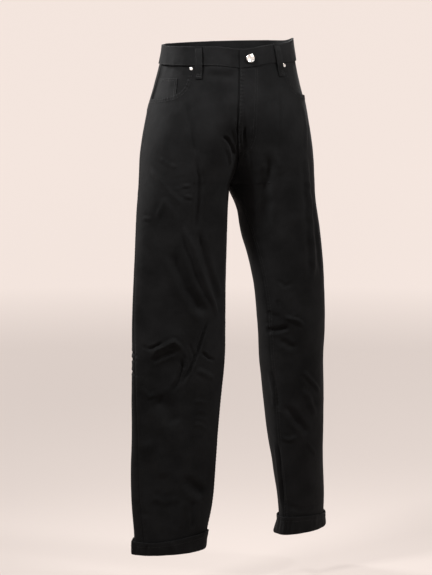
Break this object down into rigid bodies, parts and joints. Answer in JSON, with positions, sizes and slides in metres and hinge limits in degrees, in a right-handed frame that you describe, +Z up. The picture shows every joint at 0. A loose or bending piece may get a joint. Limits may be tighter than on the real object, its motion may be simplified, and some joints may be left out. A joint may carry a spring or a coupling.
{
  "type": "slim jeans",
  "caption": "Slim five-pocket jeans in their worn hollow form, with a button and zip fly, belt loops, scooped front pockets, back yokes and turned-up hems.",
  "frame": {"origin": "centre of the waistband, at the middle of its height, where the wearer's waist holds it", "axes": "+Z up, the front faces -Y, +X is the wearer's left"},
  "size_m": [0.4796, 0.2603, 1.052],
  "materials": {
    "twill": "matt overdyed black denim twill with a soft sheen",
    "band": "matt black denim twill, doubled and topstitched",
    "facing": "matt black denim twill",
    "metal": "polished silver-coloured metal"
  },
  "bodies": {
    "root": {"front_right": "twill", "front_left": "twill", "back_right": "twill", "back_left": "twill", "yoke_right": "twill", "yoke_left": "twill", "waistband": "band", "pocket_facing_right": "facing", "pocket_facing_left": "facing", "coin_pocket": "facing", "back_pocket_right": "twill", "back_pocket_left": "twill", "fly_shield": "facing", "zip_tape": "facing", "belt_loop_front_right": "band", "belt_loop_front_left": "band", "belt_loop_back_right": "band", "belt_loop_back_left": "band", "belt_loop_back_centre": "band", "cuff_right": "twill", "cuff_left": "twill", "waist_button": "metal", "rivet_right": "metal", "rivet_left": "metal"}
  },
  "joints": []
}
